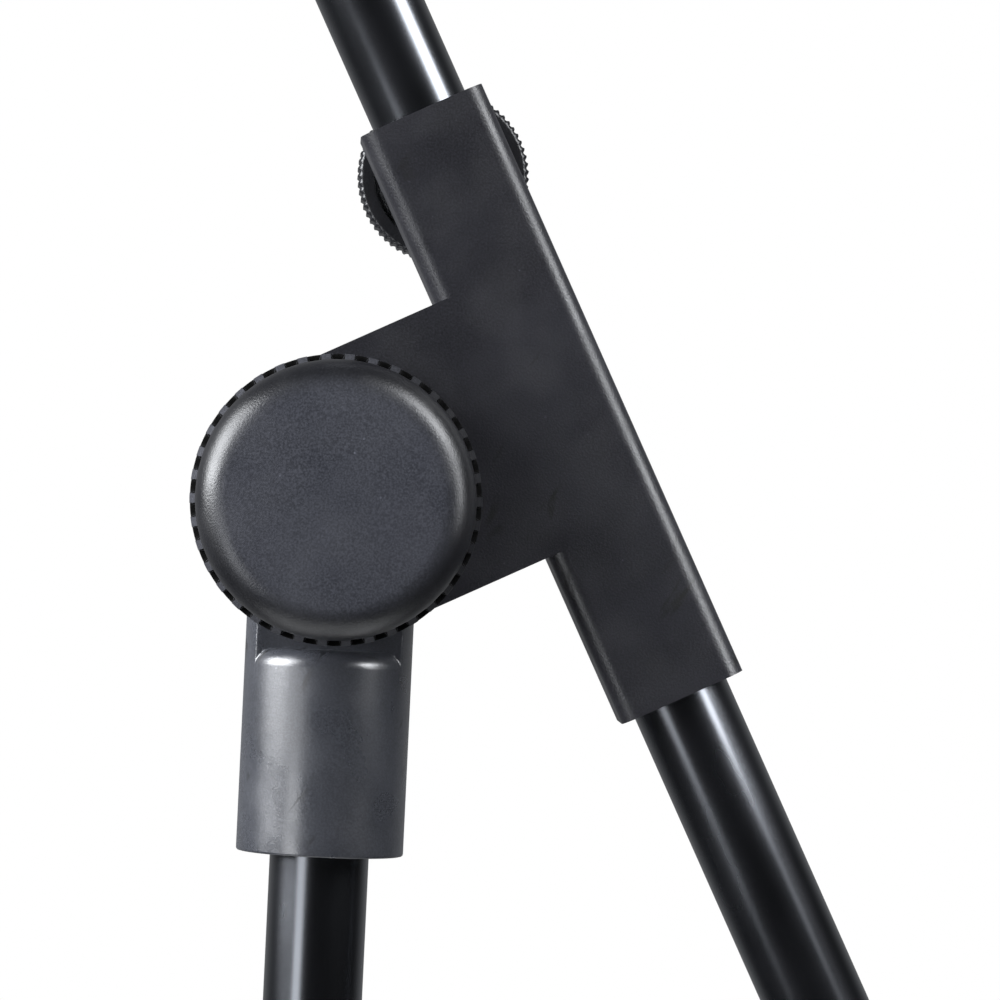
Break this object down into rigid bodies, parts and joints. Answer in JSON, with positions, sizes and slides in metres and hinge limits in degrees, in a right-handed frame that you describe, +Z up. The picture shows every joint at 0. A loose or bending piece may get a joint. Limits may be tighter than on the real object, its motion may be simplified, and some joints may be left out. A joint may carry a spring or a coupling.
{
  "type": "boom microphone stand",
  "caption": "Boom microphone stand with a folding tripod base, a telescoping upright, a tilting T-clamp joint with a ribbed knob and a sliding boom tube.",
  "frame": {"origin": "on the floor, under the centre of the stand's bounding box; the pole axis is 84.8 mm in front of it", "axes": "+Z up; the tilt knob faces -Y; the boom's microphone end leans towards -X"},
  "size_m": [0.5988, 0.521, 1.6392],
  "materials": {
    "cast_black": "matte black powder coat",
    "moulded_black": "matte moulded plastic with a fine grain",
    "gloss_black": "glossy black lacquer",
    "rubber_black": "matte rubber",
    "nylon": "natural nylon",
    "fibre": "pressed fibre friction lining",
    "zinc": "zinc plated steel",
    "brass": "turned brass"
  },
  "bodies": {
    "base": {"tripod_hub": "cast_black", "hub_cap": "moulded_black", "hub_screw": "zinc", "leg_bolt_1": "zinc", "leg_bolt_2": "zinc", "leg_bolt_3": "zinc", "lower_tube": "gloss_black", "height_clutch": "cast_black", "clutch_bush": "moulded_black"},
    "leg_1": {"leg_hinge_lug_1": "cast_black", "leg_tube_1": "gloss_black", "leg_foot_1": "rubber_black"},
    "leg_2": {"leg_hinge_lug_2": "cast_black", "leg_tube_2": "gloss_black", "leg_foot_2": "rubber_black"},
    "leg_3": {"leg_hinge_lug_3": "cast_black", "leg_tube_3": "gloss_black", "leg_foot_3": "rubber_black"},
    "glide": {"glide_bush": "nylon"},
    "mast": {"upper_tube": "gloss_black", "socket": "cast_black", "tilt_bolt": "zinc", "tilt_bolt_washer": "zinc", "friction_disc": "fibre"},
    "tilt_arm": {"boom_clamp": "cast_black"},
    "boom_slider": {"boom_tail_cap": "rubber_black"},
    "boom": {"boom_tube": "gloss_black", "boom_tip": "zinc"},
    "nut": {"counter_nut": "moulded_black"},
    "tilt_pressure": {"tilt_washer": "zinc"},
    "tilt_grip": {"tilt_knob": "moulded_black", "tilt_knob_insert": "brass"},
    "boom_pressure": {"boom_lock_pad": "brass"},
    "boom_grip": {"boom_lock_knob": "moulded_black", "boom_lock_screw": "zinc"},
    "height_pressure": {"height_pad": "brass"},
    "height_grip": {"height_knob": "moulded_black", "height_screw": "zinc"}
  },
  "joints": [
    {"name": "leg_1_fold", "type": "hinge", "parent": "base", "child": "leg_1", "pos_m": [0, -0.05685, 0.075], "axis": [1, 0, 0], "range_deg": [0, 98]},
    {"name": "leg_2_fold", "type": "hinge", "parent": "base", "child": "leg_2", "pos_m": [-0.02425, -0.09885, 0.075], "axis": [-0.5, 0.866, 0], "range_deg": [0, 98]},
    {"name": "leg_3_fold", "type": "hinge", "parent": "base", "child": "leg_3", "pos_m": [0.02425, -0.09885, 0.075], "axis": [-0.5, -0.866, 0], "range_deg": [0, 98]},
    {"name": "height_slide", "type": "slide", "parent": "base", "child": "glide", "axis": [0, 0, 1], "range_m": [-0.12, 0.5]},
    {"name": "mast_swivel", "type": "hinge", "parent": "glide", "child": "mast", "pos_m": [0, -0.08485, 1], "axis": [0, 0, 1], "continuous": true},
    {"name": "boom_tilt", "type": "hinge", "parent": "mast", "child": "tilt_arm", "pos_m": [0, -0.08485, 1.1], "axis": [0, 1, 0], "range_deg": [-153, 26]},
    {"name": "boom_slide", "type": "slide", "parent": "tilt_arm", "child": "boom_slider", "axis": [-0.4493, 0, 0.8934], "range_m": [-0.49, 0.19]},
    {"name": "boom_roll", "type": "hinge", "parent": "boom_slider", "child": "boom", "pos_m": [0.0335, -0.09285, 1.11685], "axis": [-0.4493, 0, 0.8934], "continuous": true},
    {"name": "counter_nut_turn", "type": "hinge", "parent": "boom", "child": "nut", "pos_m": [-0.22261, -0.09285, 1.62607], "axis": [-0.4493, 0, 0.8934], "continuous": true},
    {"name": "tilt_knob_turn", "type": "hinge", "parent": "tilt_pressure", "child": "tilt_grip", "pos_m": [0, -0.11185, 1.1], "axis": [0, -1, 0], "range_deg": [0, 360]},
    {"name": "tilt_washer_travel", "type": "slide", "parent": "tilt_arm", "child": "tilt_pressure", "axis": [0, -1, 0], "range_m": [0, 0.00124]},
    {"name": "boom_lock_turn", "type": "hinge", "parent": "boom_pressure", "child": "boom_grip", "pos_m": [0.01499, -0.08485, 1.15366], "axis": [0, 1, 0], "range_deg": [0, 360]},
    {"name": "boom_pad_travel", "type": "slide", "parent": "tilt_arm", "child": "boom_pressure", "axis": [0, 1, 0], "range_m": [0, 0.00124]},
    {"name": "height_lock_turn", "type": "hinge", "parent": "height_pressure", "child": "height_grip", "pos_m": [0, -0.11485, 0.86], "axis": [0, -1, 0], "range_deg": [0, 360]},
    {"name": "height_pad_travel", "type": "slide", "parent": "base", "child": "height_pressure", "axis": [0, -1, 0], "range_m": [0, 0.00124]}
  ],
  "couplings": [
    {"joint": "tilt_knob_turn", "follows": "tilt_washer_travel", "rad_per_m": 5026.5},
    {"joint": "boom_lock_turn", "follows": "boom_pad_travel", "rad_per_m": 5026.5},
    {"joint": "height_lock_turn", "follows": "height_pad_travel", "rad_per_m": 5026.5}
  ]
}
